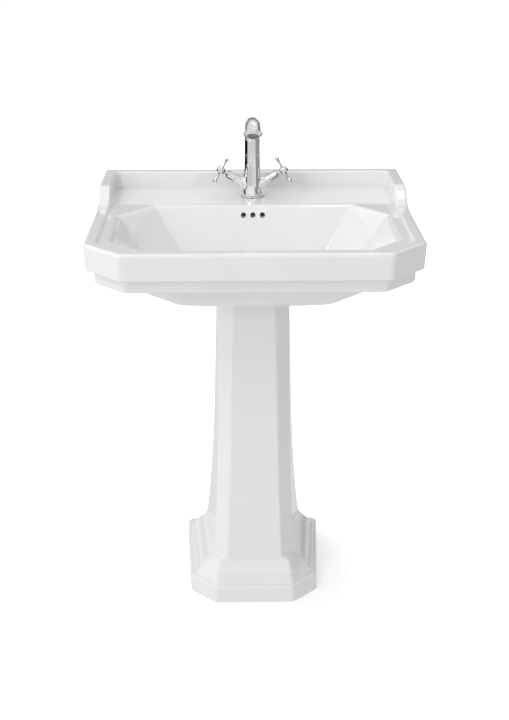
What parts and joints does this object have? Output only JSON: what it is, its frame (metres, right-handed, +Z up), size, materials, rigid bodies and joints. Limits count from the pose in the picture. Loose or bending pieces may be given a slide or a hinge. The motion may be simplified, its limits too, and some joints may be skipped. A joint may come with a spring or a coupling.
{
  "type": "pedestal sink",
  "caption": "Glazed pedestal wash basin with a stepped rim, backsplash and faceted bowl, on a flared eight-sided pedestal, with a cross-handle mixer tap and pop-up waste.",
  "frame": {"origin": "on the floor, under the centre of the whole sink's box: half way between the basin's front and the wall", "axes": "+Z up, +Y towards the wall, +X to the right of a person who faces the wall"},
  "size_m": [0.65, 0.5446, 1.0313],
  "materials": {
    "glazed_china": "white vitreous china, glossy glaze",
    "chrome": "polished chrome plate",
    "brass": "plain machined brass",
    "steel": "bright zinc or stainless steel",
    "rubber": "matte black rubber",
    "white_plastic": "white moulded plastic",
    "grey_plastic": "grey moulded plastic"
  },
  "bodies": {
    "sink": {"basin": "glazed_china", "cold_bonnet": "chrome", "cold_cartridge": "brass", "fixing_nut": "steel", "fixing_plate": "steel", "fixing_stud": "steel", "fixing_washer": "rubber", "hot_bonnet": "chrome", "hot_cartridge": "brass", "pedestal": "glazed_china", "pedestal_pads": "rubber", "pivot_nut": "brass", "tailpiece": "white_plastic", "tap_base_ring": "chrome", "tap_base_seal": "rubber", "tap_body": "chrome", "trap_body": "white_plastic", "trap_cup": "white_plastic", "trap_cup_seal": "rubber", "trap_inlet_nut": "white_plastic", "trap_inlet_seal": "rubber", "trap_outlet_nut": "white_plastic", "trap_outlet_pipe": "white_plastic", "trap_outlet_seal": "rubber", "waste_body": "brass", "waste_flange": "chrome", "waste_flange_seal": "rubber", "waste_gasket": "rubber", "waste_locknut": "brass"},
    "plug": {"plug": "chrome", "plug_seal": "rubber"},
    "lever": {"lever_rod": "steel"},
    "lift_rod": {"lift_rod": "chrome", "lift_knob": "chrome", "lift_strap": "steel", "strap_screw": "steel"},
    "hot_handle": {"hot_handle": "chrome", "hot_spindle": "brass", "hot_handle_screw": "steel", "hot_cap": "chrome"},
    "cold_handle": {"cold_handle": "chrome", "cold_spindle": "brass", "cold_handle_screw": "steel", "cold_cap": "chrome"},
    "spout": {"spout": "chrome", "spout_seals": "rubber", "outlet_collar": "chrome", "aerator": "grey_plastic"}
  },
  "joints": [
    {"name": "spout_swivel", "type": "hinge", "parent": "sink", "child": "spout", "pos_m": [0, 0.1765, 0.976], "axis": [0, 0, 1], "range_deg": [-60, 60]},
    {"name": "hot_turn", "type": "hinge", "parent": "sink", "child": "hot_handle", "pos_m": [-0.06721, 0.1765, 0.90759], "axis": [-0.8616, 0, 0.5075], "range_deg": [0, 90]},
    {"name": "cold_turn", "type": "hinge", "parent": "sink", "child": "cold_handle", "pos_m": [0.06721, 0.1765, 0.90759], "axis": [0.8616, 0, 0.5075], "range_deg": [-90, 0]},
    {"name": "rod_lift", "type": "slide", "parent": "sink", "child": "lift_rod", "axis": [0, 0, 1], "range_m": [0, 0.0394]},
    {"name": "lever_tip", "type": "hinge", "parent": "sink", "child": "lever", "pos_m": [0, 0.0175, 0.64], "axis": [1, 0, 0], "range_deg": [0, 12.2]},
    {"name": "plug_drop", "type": "slide", "parent": "sink", "child": "plug", "axis": [0, 0, 1], "range_m": [-0.006, 0]}
  ],
  "couplings": [
    {"joint": "lever_tip", "follows": "rod_lift", "rad_per_m": 5.375},
    {"joint": "plug_drop", "follows": "rod_lift", "ratio": -0.15132}
  ]
}
